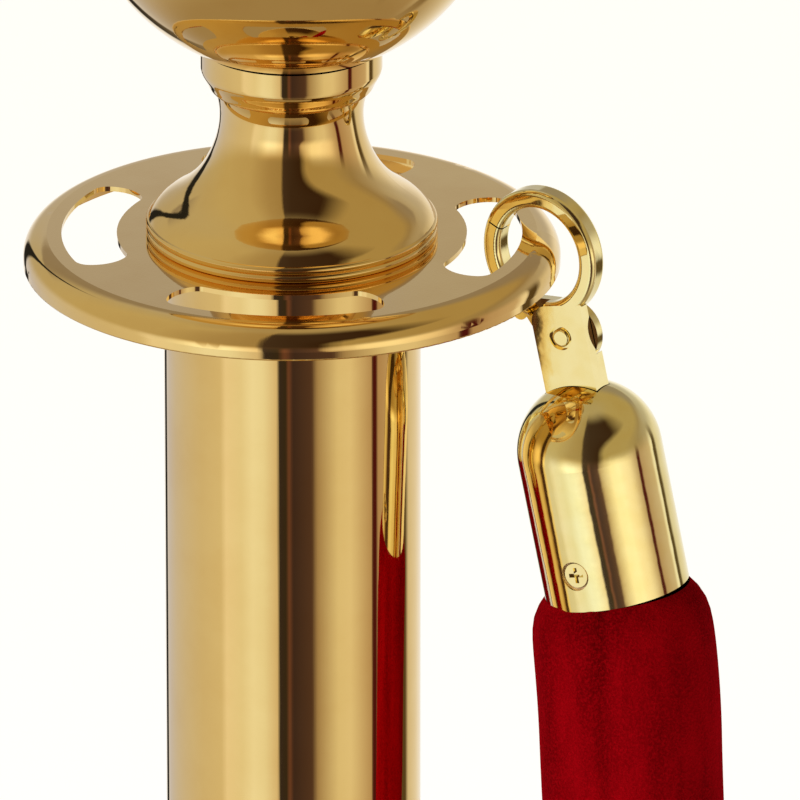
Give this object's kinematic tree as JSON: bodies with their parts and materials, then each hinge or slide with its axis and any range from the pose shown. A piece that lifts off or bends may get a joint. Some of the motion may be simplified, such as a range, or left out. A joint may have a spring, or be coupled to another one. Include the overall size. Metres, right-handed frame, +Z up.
{
  "type": "rope barrier stanchion",
  "caption": "Free-standing post with a domed base, a slotted ring plate under a ball finial, and a velvet rope hung from it by a snap hook at each end.",
  "frame": {"origin": "centre of the base on the floor", "axes": "+Z up the post; +X towards the slot that holds the first hook; -Y towards an empty slot"},
  "size_m": [0.32, 0.3323, 0.9647],
  "materials": {
    "gold_steel": "polished titanium-gold PVD coating on stainless steel",
    "gold_plate": "bright gold electroplate on zinc casting",
    "velvet": "deep red cotton velvet",
    "rope_filling": "bundled cotton and foam core",
    "cast_iron": "black painted casting",
    "rubber": "black moulded rubber",
    "steel": "zinc-plated mild steel",
    "wood": "turned softwood",
    "spring_steel": "spring wire"
  },
  "bodies": {
    "root": {"base_cover": "gold_steel", "base_weight": "cast_iron", "floor_ring": "rubber", "base_washer": "steel", "base_bolt": "steel", "post_tube": "gold_steel", "bottom_plug": "steel", "top_plug": "steel", "post_skirt": "gold_steel", "ring_plate": "gold_steel", "neck": "gold_steel", "ball_cup": "gold_steel", "neck_spacer": "steel", "ball_shell": "gold_steel", "ball_boss": "steel", "top_stud": "steel", "rope_core": "rope_filling", "rope_sleeve": "velvet", "first_hook": "gold_plate", "first_rivet": "gold_plate", "first_gate_spring": "spring_steel", "first_cross_pin": "steel", "first_cap": "gold_plate", "first_cap_screws": "gold_plate", "first_rope_plug": "wood", "second_hook": "gold_plate", "second_rivet": "gold_plate", "second_gate_spring": "spring_steel", "second_cross_pin": "steel", "second_cap": "gold_plate", "second_cap_screws": "gold_plate", "second_rope_plug": "wood"},
    "first_gate": {"first_gate": "gold_plate"},
    "second_gate": {"second_gate": "gold_plate"}
  },
  "joints": [
    {"name": "first_gate_hinge", "type": "hinge", "parent": "root", "child": "first_gate", "pos_m": [0.0542, 0.0018, 0.82136], "axis": [-0.5, -0.866, 0], "range_deg": [0, 20], "stiffness_Nm_per_rad": 0.06, "springref_deg": -20.05},
    {"name": "second_gate_hinge", "type": "hinge", "parent": "root", "child": "second_gate", "pos_m": [-0.00314, 0.05506, 0.81936], "axis": [0.9945, 0.1045, 0], "range_deg": [0, 20], "stiffness_Nm_per_rad": 0.06, "springref_deg": -20.05}
  ]
}
